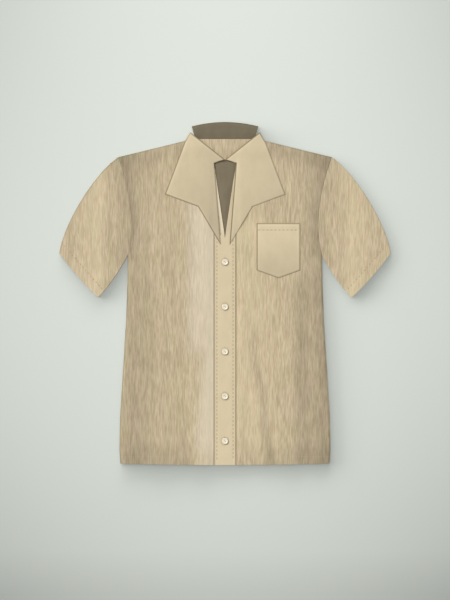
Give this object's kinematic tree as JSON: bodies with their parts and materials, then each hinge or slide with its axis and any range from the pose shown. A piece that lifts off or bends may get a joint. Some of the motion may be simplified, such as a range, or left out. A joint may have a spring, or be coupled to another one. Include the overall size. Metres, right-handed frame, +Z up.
{
  "type": "camp shirt",
  "caption": "Short-sleeved camp shirt laid flat, with an open notched collar, a buttoned front band, a chest patch pocket and pearly buttons.",
  "frame": {"origin": "middle of the shirt's footprint, on the surface it lies on", "axes": "+Z up out of the surface, towards the front of the shirt; +Y towards the neck; +X towards the wearer's left sleeve"},
  "size_m": [0.7456, 0.7715, 0.0096],
  "materials": {
    "slub_cloth": "matt slubbed linen-look cloth with uneven upright streaks",
    "plain_cloth": "matt plain cloth of the collar, bands and pocket",
    "inner_cloth": "matt dark taupe inside of the collar and the back",
    "pearl_button": "glossy pearly white",
    "thread": "matt sewing thread"
  },
  "bodies": {
    "root": {"back": "slub_cloth", "back_neck_facing": "slub_cloth", "front_left": "slub_cloth", "front_right": "slub_cloth", "band_left": "plain_cloth", "band_right": "plain_cloth", "sleeve_left": "slub_cloth", "sleeve_right": "slub_cloth", "pocket": "plain_cloth", "collar_left": "plain_cloth", "collar_right": "plain_cloth", "collar_stand": "inner_cloth", "collar_fall": "plain_cloth", "button_1": "pearl_button", "button_2": "pearl_button", "button_3": "pearl_button", "button_4": "pearl_button", "button_5": "pearl_button"}
  },
  "joints": []
}
